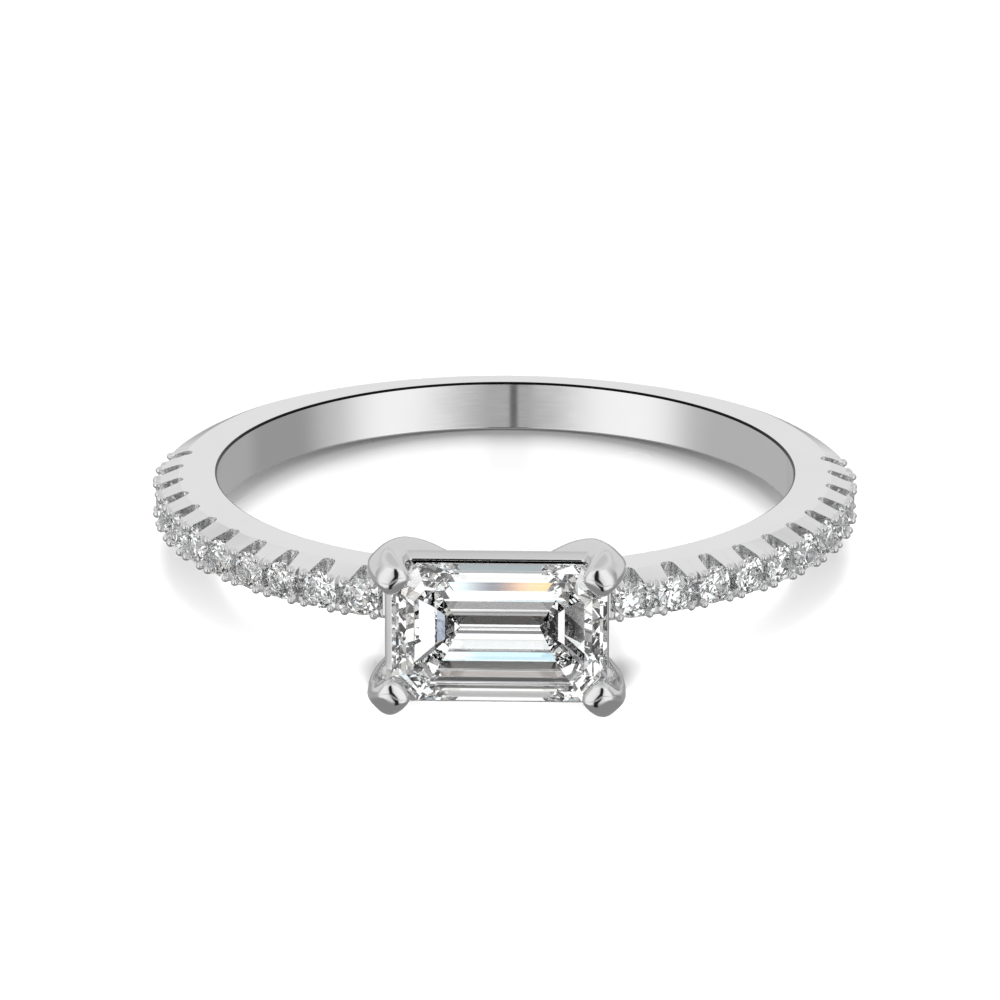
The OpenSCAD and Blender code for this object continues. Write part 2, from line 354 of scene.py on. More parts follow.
def finger_hole():
    """The open bore with its two rounded edges."""
    lip = [(BORE_R + INNER_EDGE - INNER_EDGE * math.cos(t), HALF_W - INNER_EDGE + INNER_EDGE * math.sin(t))
           for t in np.radians(np.linspace(0, LIP_TURN, LIP_STEPS))]
    half = lip + [(BORE_R + r, HALF_W + z) for r, z in HOLE_MOUTH]
    outline = [(r, -z) for r, z in reversed(half)] + half
    turn = [2 * math.pi * k / BAND_TURNS for k in range(BAND_TURNS)]
    return skin([[(r * math.sin(a), -r * math.cos(a), z) for a in turn] for r, z in outline])


def head_seat():
    """The block cut away to leave a flat under the head."""
    x, z, low, high = PLAIN_R, 2 * HALF_W, -SEAT_H, -SEAT_H - SEAT_BLOCK
    return skin([[(-x, low, h), (x, low, h), (x, high, h), (-x, high, h)] for h in (-z, z)])


def side_window(a, face):
    """U-shaped window through which a round stone shows from the side."""
    reach = outer_reach(a)
    low, far = reach - WINDOW_LOW, reach + OUTER_EDGE
    bow = arc_points(low, 0, WINDOW_R, -90, -270, WINDOW_STEPS)
    outline = [(far, -WINDOW_RIM)] + bow + [(far, WINDOW_RIM)]
    heights = [face * (HALF_W - WINDOW_DEPTH), face * (HALF_W + OVERCUT)]
    return skin([on_band(a, [(x, y, h) for x, y in outline]) for h in heights])


def side_seat(a):
    """Seat for one round stone: a cone for the pavilion, open above the girdle."""
    deep, wide = SIDE_D * ROUND_DEEP, SIDE_D / 2 + GAP
    bottom = outer_reach(a) - SIDE_SINK - deep - 2 * GAP
    rows = [(bottom, SEAT_FOOT_R), (bottom + deep, wide), (bottom + deep + OVERCUT, wide)]
    turn = [2 * math.pi * k / SEAT_SIDES for k in range(SEAT_SIDES)]
    return skin([on_band(a, [(x, r * math.cos(t), r * math.sin(t)) for t in turn]) for x, r in rows])


def finger_split(a):
    """Groove that parts the end of a finger of metal into two beads."""
    reach = outer_reach(a)
    far, past = reach + OUTER_EDGE, HALF_W + OVERCUT
    outline = [(reach - SPLIT_SINK, 0), (far, -SPLIT_HALF), (far, SPLIT_HALF)]
    return skin([on_band(a, [(x, y, h) for x, y in outline]) for h in (-past, past)])


def shoulder_channel(side):
    """Groove that runs under the round stones of one shoulder."""
    low, far, half = SHOULDER_R - CHANNEL_SINK, SHOULDER_R + OVERCUT, CHANNEL_HALF
    corners = [(low, 0, -half), (far, 0, -half), (far, 0, half), (low, 0, half)]
    steps = np.linspace(-0.5, SIDE_COUNT - 0.5, CHANNEL_STEPS)
    return skin([on_band(side_angle(side, i), corners) for i in steps])


def band_piece(material):
    """The polished band with its windows, seats, bead splits and channels."""
    band = band_blank()
    angles = [side_angle(side, i) for side in SIDES for i in range(SIDE_COUNT)]
    ends = [side_angle(side, i - 0.5) for side in SIDES for i in range(SIDE_COUNT + 1)]
    cuts = {
        "windows": joined([side_window(a, face) for a in angles for face in (-1, 1)]),
        "seats": joined([side_seat(a) for a in angles]),
        "splits": joined([finger_split(a) for a in ends]),
        "channels": joined([shoulder_channel(side) for side in SIDES]),
    }
    for name, shape in cuts.items():
        combine(band, solid(name, shape), "DIFFERENCE")
    # Painted dark line on the hole's upper lip, standing in for a dark reflection
    mark_faces(band, "painted_dark_line", in_rim_line)
    # Painted shade deep in the cuts round the side stones, where less light reaches
    mark_faces(band, "painted_cut_shade", in_side_cut)
    return place(band, BAND_CRISP, material)


def mark_faces(obj, name, share):
    """Writes a number on every face, worked out from where its middle lies."""
    marks = obj.data.attributes.new(name, "FLOAT", "FACE")
    for face, mark in zip(obj.data.polygons, marks.data):
        mark.value = share(*face.center)


def in_rim_line(x, y, z):
    """1 on the upper rounded edge of the finger hole, where a dark line is painted in place of a dark
    reflection.
    """
    out = math.hypot(x, y) - BORE_R
    return float(LIP_SLACK[0] < out < INNER_EDGE - LIP_SLACK[1] and z > HALF_W - INNER_EDGE)


def in_side_cut(x, y, z):
    """How deep a face lies in the cuts round the side stones, from 0 to 1: the share of painted shade in the
    cuts.
    """
    r, a = math.hypot(x, y), math.atan2(x, -y)
    start, end = (side_angle("right", i) for i in (-0.5, SIDE_COUNT - 0.5))
    if not (start < abs(a) < end and r > BORE_R + WALL_KEPT):
        return 0.0
    below, beside = outer_reach(a) - CUT_START[0] - r, HALF_W - CUT_START[1] - abs(z)
    return max(0.0, min(1.0, below / CUT_FADE, beside / CUT_FADE))


def in_gap_line(x, y, z):
    """1 on the narrow inside of the rail, along the stone's long edges, where a dark line is painted as the
    shadow in the gap.
    """
    half_l, half_w = RAIL_L / 2 - RAIL_T - RAIL_CUT, RAIL_W / 2 - RAIL_T
    across, along, down = abs(x - BASKET_SHIFT), abs(z + RAIL_NEAR), RAIL_TOP + y
    return float(across < half_l and GAP_FROM * half_w < along < half_w + GAP_SLACK
                 and GAP_SLACK < down < GAP_DEPTH)


# Claw head

def in_head(points):
    """Points with X across, Y along the finger and Z outwards, stood up in the head."""
    return [(x, -z, y) for x, y, z in points]


def octagon(l, w, c):
    """A rectangle of half length l and half width w with its corners cut by c."""
    quarter = [(l, w - c), (l - c, w)]
    half = quarter + [(-x, y) for x, y in reversed(quarter)]
    return half + [(-x, -y) for x, y in half]


def rail_outline(inset, h):
    """The rail's octagon at a height, set in by a distance."""
    outline = octagon(RAIL_L / 2 - inset, RAIL_W / 2 - inset, RAIL_CUT)
    return in_head([(x + BASKET_SHIFT, y - RAIL_NEAR, h) for x, y in outline])


def rail_block():
    """The rail's outside as a solid block: it leans inwards at its lower edge and slopes at its upper one."""
    inwards, down = RAIL_ROUND
    return skin([rail_outline(RAIL_LEAN, RAIL_TOP - RAIL_H), rail_outline(0.0, RAIL_TOP - down),
                 rail_outline(inwards, RAIL_TOP)])


def rail_opening():
    """The rail's inside, with a ledge that rises inwards."""
    inwards, down, rise = RAIL_LEDGE
    past_foot, past_top = RAIL_PAST
    return skin([rail_outline(RAIL_T + inwards, RAIL_TOP - RAIL_H - past_foot),
                 rail_outline(RAIL_T + inwards, RAIL_TOP - down + rise),
                 rail_outline(RAIL_T, RAIL_TOP - down), rail_outline(RAIL_T, RAIL_TOP + past_top)])


def spline(rows, t):
    """Smooth curve through rows of numbers, at row number t."""
    i = min(int(t), len(rows) - 2)
    f = t - i
    p, q, r, s = (np.array(rows[max(0, min(len(rows) - 1, k))]) for k in (i - 1, i, i + 1, i + 2))
    square, cube = 2 * p - 5 * q + 4 * r - s, 3 * q - p - 3 * r + s
    return 0.5 * (2 * q + (r - p) * f + square * f ** 2 + cube * f ** 3)


def unit(v):
    return v / np.linalg.norm(v)


def square_cos(a):
    """Cosine of a rounded square."""
    c = math.cos(a)
    return math.copysign(abs(c) ** (2 / CLAW_SQUARE), c)


def claw(across, along):
    """One claw, swept from its foot in the band to its tip over the stone's corner."""
    last = len(CLAW_PATH) - 1 - CLAW_END
    corner = unit(np.array([-1.0, 1.0, 0.0]))
    rings = []
    for t in np.linspace(0, last, CLAW_RINGS):
        here = spline(CLAW_PATH, t)
        ahead, behind = spline(CLAW_PATH, min(last, t + CLAW_STEP)), spline(CLAW_PATH, max(0, t - CLAW_STEP))
        run = unit(ahead[:3] - behind[:3])
        wide = unit(corner - corner.dot(run) * run)
        deep = np.cross(wide, run)
        ring = []
        for k in range(CLAW_SIDES):
            a = 2 * math.pi * k / CLAW_SIDES
            p = here[:3] + here[3] * square_cos(a) * deep + here[4] * square_cos(a - math.pi / 2) * wide
            ring.append((across * p[0] + BASKET_SHIFT, along * p[1], p[2]))
        rings.append(in_head(ring))
    return skin(rings)


def head_piece(material):
    """Rail and claws melted into one casting, then cut back for the stone and the finger."""
    head = solid("head", joined([rail_block()] + [claw(x, y) for x in (-1, 1) for y in (-1, 1)]))
    melt = head.modifiers.new("melt", "REMESH")
    melt.mode = "VOXEL"
    melt.voxel_size = HEAD_VOXEL
    settle(head)
    soften = head.modifiers.new("soften", "SMOOTH")
    soften.factor, soften.iterations = HEAD_SOFTENING
    settle(head)
    combine(head, solid("rail_opening", rail_opening()), "DIFFERENCE")
    combine(head, solid("stone_room", step_cut(GAP)), "DIFFERENCE")
    combine(head, solid("finger_room", finger_hole()), "DIFFERENCE")
    # Painted dark line on the rail's inside, standing in for the shadow in the gap round the stone
    mark_faces(head, "painted_dark_line", in_gap_line)
    return place(head, HEAD_CRISP, material)


# Stones

def stone_rows(g):
    """Rows of the step cut, grown by a gap on every side: height, half length, half width, corner cut."""
    rows = [(-PAVILION_H * h, l + g, w + g, c) for h, l, w, c in PAVILION_ROWS]
    for side in (-1, 1):
        rows.append((side * (GIRDLE_T / 2 + g), STONE_L / 2 + g, STONE_W / 2 + g, STONE_CUT))
    for h, inset in CROWN_ROWS:
        rows.append((CROWN_H * h + g, STONE_L / 2 - inset + g, STONE_W / 2 - inset + g,
                     STONE_CUT - inset * (2 - math.sqrt(2))))
    return rows


def step_cut(g=0.0):
    """Octagonal step cut: flat table, stepped crown and pavilion, and a keel line below."""
    rows = stone_rows(g)
    points = [(x, y, h) for h, l, w, c in rows for x, y in octagon(l, w, c)]
    keel = len(points)
    points += [(x, 0, -PAVILION_H - KEEL_GAP * g) for x in (KEEL_HALF, -KEEL_HALF)]
    faces = []
    for s in range(len(rows) - 1):
        for k in range(8):
            n = (k + 1) % 8
            faces.append((8 * s + k, 8 * s + 8 + k, 8 * s + 8 + n, 8 * s + n))
    faces.append(tuple(keel - 8 + k for k in range(8)))
    faces += [(keel, 0, 1), (keel, 1, 2, keel + 1), (keel + 1, 2, 3), (keel + 1, 3, 4),
              (keel + 1, 4, 5), (keel + 1, 5, 6, keel), (keel, 6, 7), (keel, 7, 0)]
    lifted = [(x + BASKET_SHIFT + STONE_SHIFT, y, h + GIRDLE_H) for x, y, h in points]
    return in_head(lifted), faces


def centre_stone_piece(material):
    """The step-cut stone, with every edge crisp."""
    return place(solid("centre_stone_cut", step_cut()), STONE_CRISP, material)


def round_cut():
    """Small round stone with its table towards +X: eight stars and kites above, eight broad facets below."""
    r = SIDE_D / 2
    table_r, star_r = ROUND_TABLE * r, ROUND_STAR * r
    crown, deep, half = ROUND_CROWN * SIDE_D, ROUND_DEEP * SIDE_D, ROUND_GIRDLE * SIDE_D
    eighth = math.cos(math.pi / 8)

    def ring(radius, count, turn, h):
        angles = [2 * math.pi * (k + turn) / count for k in range(count)]
        return [(h, radius * math.cos(a), radius * math.sin(a)) for a in angles]

    star_h = half + (crown - half) * (r - star_r * eighth) / (r - table_r)
    points = [(-deep, 0, 0)] + ring(r, 16, 0, -half) + ring(r, 16, 0, half)
    points += ring(star_r, 8, 0.5, star_h) + ring(table_r, 8, 0, crown)
    under, over, star, table = 1, 17, 33, 41
    faces = [tuple(table + k for k in range(8))]
    for k in range(8):
        before = (k + 7) % 8
        here, mid, ahead = 2 * k, 2 * k + 1, (2 * k + 2) % 16
        faces += [
            (0, under + here, under + mid, under + ahead),
            (under + here, over + here, over + mid, under + mid),
            (under + mid, over + mid, over + ahead, under + ahead),
            (over + here, star + k, over + mid),
            (over + mid, star + k, over + ahead),
            (over + here, star + before, table + k, star + k),
            (star + k, table + k, table + (k + 1) % 8),
        ]
    return points, faces


# Geometry trees for what repeats

class Tree:
    """A geometry node tree with named inputs, written as short formulas."""

    def __init__(self, name, sizes):
        self.group = bpy.data.node_groups.new(name, "GeometryNodeTree")
        face = self.group.interface
        face.new_socket("Geometry", in_out="INPUT", socket_type="NodeSocketGeometry")
        for label, value in sizes.items():
            kind = "NodeSocketInt" if isinstance(value, int) else "NodeSocketFloat"
            face.new_socket(label, in_out="INPUT", socket_type=kind)
        face.new_socket("Geometry", in_out="OUTPUT", socket_type="NodeSocketGeometry")
        self.sizes = sizes
        self.inputs = self.add("NodeGroupInput")
        self.out = self.add("NodeGroupOutput")

    def add(self, kind, **settings):
        node = self.group.nodes.new(kind)
        for key, value in settings.items():
            setattr(node, key, value)
        return node

    def feed(self, socket, value):
        if isinstance(value, bpy.types.NodeSocket):
            self.group.links.new(value, socket)
        else:
            socket.default_value = value

    def size(self, label):
        return self.inputs.outputs[label]

    def math(self, how, *values):
        node = self.add("ShaderNodeMath", operation=how)
        for socket, value in zip(node.inputs, values):
            self.feed(socket, value)
        return node.outputs[0]

    def vector(self, x, y, z):
        node = self.add("ShaderNodeCombineXYZ")
        for socket, value in zip(node.inputs, (x, y, z)):
            self.feed(socket, value)
        return node.outputs[0]

    def reach(self, a):
        """Radius of the outer face at an angle from the head."""
        shift = self.size("Taper Shift")
        across = self.math("MULTIPLY", shift, self.math("SINE", a))
        root = self.math("SQRT", self.math("SUBTRACT", self.math("POWER", self.size("Plain Radius"), 2.0),
                                           self.math("POWER", across, 2.0)))
        plain = self.math("ADD", self.math("MULTIPLY", shift, self.math("COSINE", a)), root)
        return self.math("MINIMUM", plain, self.size("Shoulder Radius"))

    def angle(self, side, nth):
        """Angle from the head of a place on one shoulder, counted from its first stone."""
        turn = self.math("MULTIPLY_ADD", nth, self.size("Step Angle"), self.size("First Angle"))
        return self.math("RADIANS", self.math("MULTIPLY", turn, side))

    def spot(self, a, outwards, sideways, along):
        """A point given outwards, along the band and along the finger at an angle from the head."""
        s, c = self.math("SINE", a), self.math("COSINE", a)
        x = self.math("MULTIPLY_ADD", outwards, s, self.math("MULTIPLY", sideways, c))
        y = self.math("SUBTRACT", self.math("MULTIPLY", sideways, s), self.math("MULTIPLY", outwards, c))
        return self.vector(x, y, along)

    def points(self, count, position):
        node = self.add("GeometryNodePoints")
        self.feed(node.inputs["Count"], count)
        self.feed(node.inputs["Position"], position)
        return node.outputs[0]

    def random(self, low, high, seed):
        node = self.add("FunctionNodeRandomValue", data_type="FLOAT")
        self.feed(node.inputs[2], low)
        self.feed(node.inputs[3], high)
        self.feed(node.inputs["Seed"], seed)
        return node.outputs[1]

    def place_copies(self, points, copy, rotation, scale, material):
        on = self.add("GeometryNodeInstanceOnPoints")
        self.feed(on.inputs["Points"], points)
        self.feed(on.inputs["Instance"], copy)
        self.feed(on.inputs["Rotation"], rotation)
        self.feed(on.inputs["Scale"], scale)
        real = self.add("GeometryNodeRealizeInstances")
        self.feed(real.inputs[0], on.outputs[0])
        paint = self.add("GeometryNodeSetMaterial")
        self.feed(paint.inputs["Geometry"], real.outputs[0])
        paint.inputs["Material"].default_value = material
        self.feed(self.out.inputs[0], paint.outputs[0])

    def made(self, name):
        """The tree's result as a plain mesh object, with every named size set by its socket."""
        obj = bpy.data.objects.new(name, bpy.data.meshes.new(name))
        bpy.context.scene.collection.objects.link(obj)
        mod = obj.modifiers.new(name, "NODES")
        mod.node_group = self.group
        sockets = {s.name: s.identifier for s in self.group.interface.items_tree if s.in_out == "INPUT"}
        for label, value in self.sizes.items():
            mod[sockets[label]] = value
        return settle(obj)


SHOULDER_SIZES = {
    "Count": SIDE_COUNT,
    "First Angle": SIDE_FIRST,
    "Step Angle": SIDE_STEP,
    "Shoulder Radius": SHOULDER_R,
    "Plain Radius": PLAIN_R,
    "Taper Shift": TAPER_SHIFT,
}


def side_stones_piece(material):
    """Both rows of round stones, each turned a little differently in its seat."""
    pattern = solid("round_cut", round_cut())
    tree = Tree("round_stone_rows", {**SHOULDER_SIZES, "Sink": SIDE_SINK, "Seed": SIDE_SEED})
    number = tree.add("GeometryNodeInputIndex").outputs[0]
    count = tree.size("Count")
    second = tree.math("GREATER_THAN", number, tree.math("SUBTRACT", count, 0.5))
    side = tree.math("MULTIPLY_ADD", second, 2.0, -1.0)
    a = tree.angle(side, tree.math("MODULO", number, count))
    girdle = tree.math("SUBTRACT", tree.reach(a), tree.size("Sink"))
    source = tree.add("GeometryNodeObjectInfo")
    source.inputs["Object"].default_value = pattern
    twist = tree.random(-SIDE_TWIST, SIDE_TWIST, tree.size("Seed"))
    turn = tree.vector(twist, 0.0, tree.math("SUBTRACT", a, math.pi / 2))
    spots = tree.points(tree.math("MULTIPLY", count, 2.0), tree.spot(a, girdle, 0.0, 0.0))
    tree.place_copies(spots, source.outputs["Geometry"], turn, (1, 1, 1), material)
    rows = tree.made("side_stones_cut")
    drop(pattern)
    return place(rows, STONE_CRISP, material)


def bead_rows_piece(material):
    """The small beads that hold the round stones, two pairs to a stone."""
    tree = Tree("bead_rows", {**SHOULDER_SIZES, "Bead Radius": BEAD_R, "Bead Rise": BEAD_RISE,
                              "Bead Side": BEAD_SIDE, "Bead Height": BEAD_Z, "Seed": BEAD_SEED})
    number = tree.add("GeometryNodeInputIndex").outputs[0]
    count = tree.size("Count")

    def sign(value):
        return tree.math("MULTIPLY_ADD", value, 2.0, -1.0)

    face = sign(tree.math("MODULO", number, 2.0))
    end = sign(tree.math("MODULO", tree.math("FLOOR", tree.math("DIVIDE", number, 2.0)), 2.0))
    stone = tree.math("FLOOR", tree.math("DIVIDE", number, 4.0))
    side = sign(tree.math("GREATER_THAN", stone, tree.math("SUBTRACT", count, 0.5)))
    nth = tree.math("MODULO", stone, count)
    held = tree.angle(side, nth)
    a = tree.angle(side, tree.math("MULTIPLY_ADD", end, 0.5, nth))
    outwards = tree.math("ADD", tree.reach(held), tree.size("Bead Rise"))
    sideways = tree.math("MULTIPLY", tree.math("MULTIPLY", side, end),
                         tree.math("MULTIPLY", tree.size("Bead Side"), -1.0))
    along = tree.math("MULTIPLY", face, tree.size("Bead Height"))
    bead = tree.add("GeometryNodeMeshUVSphere")
    bead.inputs["Segments"].default_value = BEAD_SEGMENTS
    bead.inputs["Rings"].default_value = BEAD_RINGS
    tree.feed(bead.inputs["Radius"], tree.size("Bead Radius"))
    size = tree.random(*BEAD_SIZES, tree.size("Seed"))
    scale = tree.vector(tree.math("MULTIPLY", size, BEAD_STRETCH), size, size)
    turn = tree.vector(0.0, 0.0, tree.math("SUBTRACT", a, math.pi / 2))
    spots = tree.points(tree.math("MULTIPLY", count, 8.0), tree.spot(a, outwards, sideways, along))
    tree.place_copies(spots, bead.outputs["Mesh"], turn, scale, material)
    return place(tree.made("setting_beads"), BEAD_CRISP, material)


# Finishes

# Metal: tones and roughness from low to high, share of hairlines, depth of all marks, softened edge in
# millimetres, and the painted shade that each mark on the mesh turns the metal to
METAL_FINISHES = {
    "polished_band": ((0.90, 0.955), (0.05, 0.12), 0.45, 0.04, 0.03, {"painted_dark_line": 0.01, "painted_cut_shade": 0.75}),
    # Claws: tones darker than the band's, painted shade on the same white metal
    "polished_claws": ((0.73, 0.80), (0.03, 0.09), 0.35, 0.06, 0.02, {"painted_dark_line": 0.01}),
    # Beads: tones darker than the band's, painted shade on the same white metal
    "setting_grain": ((0.74, 0.88), (0.06, 0.18), 0.30, 0.15, 0.02, {}),
}
# Marks: height in millimetres, detail of the haze, noise that counts from smooth to rough, size of the hairlines
MARK_RELIEF = 0.01
HAZE_DETAIL = {"Detail": 4, "Roughness": 0.55}
MARK_RANGE = (0.35, 0.7)
HAIRLINE_SCALE = (900, 900, 14000)
HAIRLINE_TURN = (0.1, 0.2, 0.6)
# Stones: scale of the tinted patches and strength of the tint
STONE_FINISHES = {"clear_step_cut": (700.0, 0.4), "clear_round_cut": (1800.0, 0.8)}
STONE_BENDING = 2.42
CLEAR_TONE = (1, 1, 1, 1)
COOL_TONE = (0.975, 0.988, 1, 1)
# Board: scale of its grain, roughness from low to high, tone and bending
BOARD_GRAIN = 400
BOARD_ROUGH = (0.22, 0.30)
BOARD_TONE = 0.9
BOARD_BENDING = 1.8

# Sockets of a colour Mix node: share, first and second colour; and its result
MIX_INPUTS = (0, 6, 7)
MIX_OUTPUT = 2
FLOAT, COLOUR = "NodeSocketFloat", "NodeSocketColor"


def group_socket(group, label, way, kind=FLOAT, value=None):
    """A named input or output of a node group."""
    socket = group.interface.new_socket(label, in_out=way, socket_type=kind)
    if value is not None:
        socket.default_value = value
    return socket


def grey(shade):
    """One shade as a colour."""
    return (shade, shade, shade, 1)


class Shader:
    """A tree of shader nodes, with short ways to add them."""

    def __init__(self, tree):
        self.nodes, self.links = tree.nodes, tree.links

    def add(self, kind, settings=None, **feeds):
        """A node with its settings, and every named input linked to a socket or set to a value."""
        node = self.nodes.new("ShaderNode" + kind)
        for key, value in (settings or {}).items():
            setattr(node, key, value)
        for label, value in feeds.items():
            self.feed(node.inputs[label.replace("_", " ")], value)
        return node

    def feed(self, socket, value):
        if isinstance(value, bpy.types.NodeSocket):
            self.links.new(value, socket)
        else:
            socket.default_value = value

    def math(self, how, *values):
        node = self.add("Math", {"operation": how})
        for socket, value in zip(node.inputs, values):
            self.feed(socket, value)
        return node.outputs[0]

    def mix(self, share, first, second):
        """Two colours mixed by a share."""
        node = self.add("Mix", {"data_type": "RGBA"})
        for place_at, value in zip(MIX_INPUTS, (share, first, second)):
            self.feed(node.inputs[place_at], value)
        return node.outputs[MIX_OUTPUT]

    def mix_number(self, share, first, second):
        """Two numbers mixed by a share."""
        return self.add("Mix", {"data_type": "FLOAT"}, Factor=share, A=first, B=second).outputs["Result"]

    def spread(self, value, start, end, low, high, how="LINEAR"):
        """A number from one range moved to another."""
        return self.add("MapRange", {"interpolation_type": how}, Value=value, From_Min=start, From_Max=end,
                        To_Min=low, To_Max=high).outputs["Result"]

    def noise(self, where, **sizes):
        return self.add("TexNoise", Vector=where, **sizes).outputs["Fac"]


class ShaderGroup(Shader):
    """A shader node group with named inputs and outputs."""

    def __init__(self, name, numbers, colours, outputs):
        self.group = bpy.data.node_groups.new(name, "ShaderNodeTree")
        super().__init__(self.group)
        for label, value in numbers.items():
            group_socket(self.group, label, "INPUT", value=value)
        for label in colours:
            group_socket(self.group, label, "INPUT", COLOUR)
        for label, kind in outputs.items():
            group_socket(self.group, label, "OUTPUT", kind)
        self.given = self.nodes.new("NodeGroupInput").outputs
        self.out = self.nodes.new("NodeGroupOutput").inputs


def polish_marks():
    """Shared polish: soft haze and hairline marks, as roughness and height."""
    made = ShaderGroup("polish_marks",
                       {"Haze Scale": 700.0, "Hairlines": 0.5, "Smoothest": 0.03, "Roughest": 0.12},
                       ("Darker", "Lighter"), {"Roughness": FLOAT, "Height": FLOAT, "Tone": COLOUR})
    given = made.given
    where = made.add("TexCoord").outputs["Object"]
    haze = made.noise(where, Scale=given["Haze Scale"], **HAZE_DETAIL)
    stretched = made.add("Mapping", Vector=where, Scale=HAIRLINE_SCALE, Rotation=HAIRLINE_TURN)
    lines = made.noise(stretched.outputs["Vector"], Scale=1.0, Detail=3)
    marks = made.mix_number(given["Hairlines"], haze, lines)
    made.feed(made.out["Roughness"], made.spread(marks, *MARK_RANGE, given["Smoothest"], given["Roughest"]))
    made.feed(made.out["Height"], marks)
    made.feed(made.out["Tone"], made.mix(haze, given["Darker"], given["Lighter"]))
    return made.group


def stone_marks():
    """Shared finish of the cut stones: a faint cool tint in patches and traces of the polishing wheel."""
    made = ShaderGroup("stone_marks", {"Patch Scale": 900.0, "Tint": 0.5, "Roughest": 0.006}, (),
                       {"Tone": COLOUR, "Roughness": FLOAT})
    where = made.add("TexCoord").outputs["Object"]
    patches = made.noise(where, Scale=made.given["Patch Scale"], Detail=3)
    amount = made.math("MULTIPLY", patches, made.given["Tint"])
    made.feed(made.out["Tone"], made.mix(amount, CLEAR_TONE, COOL_TONE))
    made.feed(made.out["Roughness"], made.math("MULTIPLY", patches, made.given["Roughest"]))
    return made.group


def material_of(name):
    """A new material, its nodes and the inputs of its Principled BSDF."""
    material = bpy.data.materials.new(name)
    material.use_nodes = True
    return material, Shader(material.node_tree), material.node_tree.nodes["Principled BSDF"].inputs


def white_metal(name, marks):
    """Polished white metal with its tones, its own amount of marks and a softened edge; the claws' and beads'
    darker tones and the marks on the mesh are painted shade.
    """
    tones, rough, hairlines, depth, edge, darker = METAL_FINISHES[name]
    material, tree, face = material_of(name)
    finish = tree.add("Group", {"node_tree": marks}, Smoothest=rough[0], Roughest=rough[1], Hairlines=hairlines,
                      Darker=grey(tones[0]), Lighter=grey(tones[1])).outputs
    tone = finish["Tone"]
    # Painted shade: each mark on the mesh darkens the metal's colour where shade or a dark reflection falls
    for mark, shade in darker.items():
        marked = tree.add("Attribute", {"attribute_name": mark})
        tone = tree.mix(marked.outputs["Fac"], tone, grey(shade))
    softened = tree.add("Bevel", {"samples": 4}, Radius=edge * MM)
    bump = tree.add("Bump", Strength=depth, Distance=MARK_RELIEF * MM, Height=finish["Height"],
                    Normal=softened.outputs["Normal"])
    face["Metallic"].default_value = 1.0
    tree.feed(face["Base Color"], tone)
    tree.feed(face["Roughness"], finish["Roughness"])
    tree.feed(face["Normal"], bump.outputs["Normal"])
    return material


def clear_stone(name, marks):
    """Polished clear stone of high refraction."""
    patch_scale, tint = STONE_FINISHES[name]
    material, tree, face = material_of(name)
    finish = tree.add("Group", {"node_tree": marks}, Patch_Scale=patch_scale, Tint=tint).outputs
    tree.feed(face["Base Color"], finish["Tone"])
    tree.feed(face["Roughness"], finish["Roughness"])
    face["Transmission Weight"].default_value = 1.0
    face["IOR"].default_value = STONE_BENDING
    return material


def white_board():
    """Pale board with a soft sheen."""
    material, tree, face = material_of("white_board")
    grain = tree.noise(tree.add("TexCoord").outputs["Object"], Scale=BOARD_GRAIN)
    tree.feed(face["Roughness"], tree.spread(grain, 0, 1, *BOARD_ROUGH))
    face["Base Color"].default_value = grey(BOARD_TONE)
    face["IOR"].default_value = BOARD_BENDING
    return material


# Studio

def panel_group():
    """Mask of a soft rectangular panel in the studio, given by its turn and height in degrees."""
    labels = ("Azimuth", "Elevation", "Turn", "Half Turn", "Height", "Half Height", "Turn Softness",
              "Height Softness")
    made = ShaderGroup("studio_panel", dict.fromkeys(labels), (), {"Mask": FLOAT})
    masks = []
    for measure, middle in (("Azimuth", "Turn"), ("Elevation", "Height")):
        half, soft = made.given["Half " + middle], made.given[middle + " Softness"]
        away = made.math("ABSOLUTE", made.math("SUBTRACT", made.given[measure], made.given[middle]))
        start, end = made.math("SUBTRACT", half, soft), made.math("ADD", half, soft)
        masks.append(made.spread(away, start, end, 1.0, 0.0, "SMOOTHSTEP"))
    made.feed(made.out["Mask"], made.math("MULTIPLY", *masks))
    return made.group


# Panels hang in front of the room, the later ones on top. Each is (turn, half turn, height, half height,
# softness, colour) in degrees. Turn 0 is the camera's side, and softness is one number, or one for the turn and
# one for the height. A panel behind the ring is given twice, at 180 and -180 degrees.
ALL_ROUND = 181
WHITE = (1.05, 1.05, 1.04)
ASH = (0.38, 0.38, 0.38)
INK = (0.02, 0.02, 0.02)
METAL_PANELS = [
    (0, ALL_ROUND, -60, 26, 8, (0.30, 0.30, 0.30)),
    (0, ALL_ROUND, 74, 24, 8, (0.68, 0.68, 0.68)),
    (0, ALL_ROUND, 43, 12, (4, 9), (0.84, 0.84, 0.84)),
    (180, 100, 14, 17, 6, (0.80, 0.80, 0.80)),
    (-180, 100, 14, 17, 6, (0.80, 0.80, 0.80)),
    (104, 20, -18, 10, 8, (0.32, 0.32, 0.32)),
    (-118, 40, -20, 8, 8, (0.46, 0.46, 0.46)),
    (34, 24, 2, 34, (15, 5), (1.1, 1.1, 1.1)),
    (-38, 28, 2, 34, (18, 5), (1.08, 1.08, 1.08)),
    (0, 9, -3, 39, (3, 0.5), (0.02, 0.02, 0.02)),
    (0, 66, -15, 3, (32, 0.5), (0.94, 0.94, 0.94)),
    (0, 25, -13.6, 1.6, (16, 0.4), (0.44, 0.44, 0.445)),
    (-2, 1.5, -13, 1, (0.8, 0.3), (0.13, 0.13, 0.13)),
    (0, 9, -14.75, 0.5, (3, 0.1), (0.02, 0.02, 0.02)),
    (0, 9, -16.3, 0.95, (3, 0.1), (0.42, 0.42, 0.42)),
]
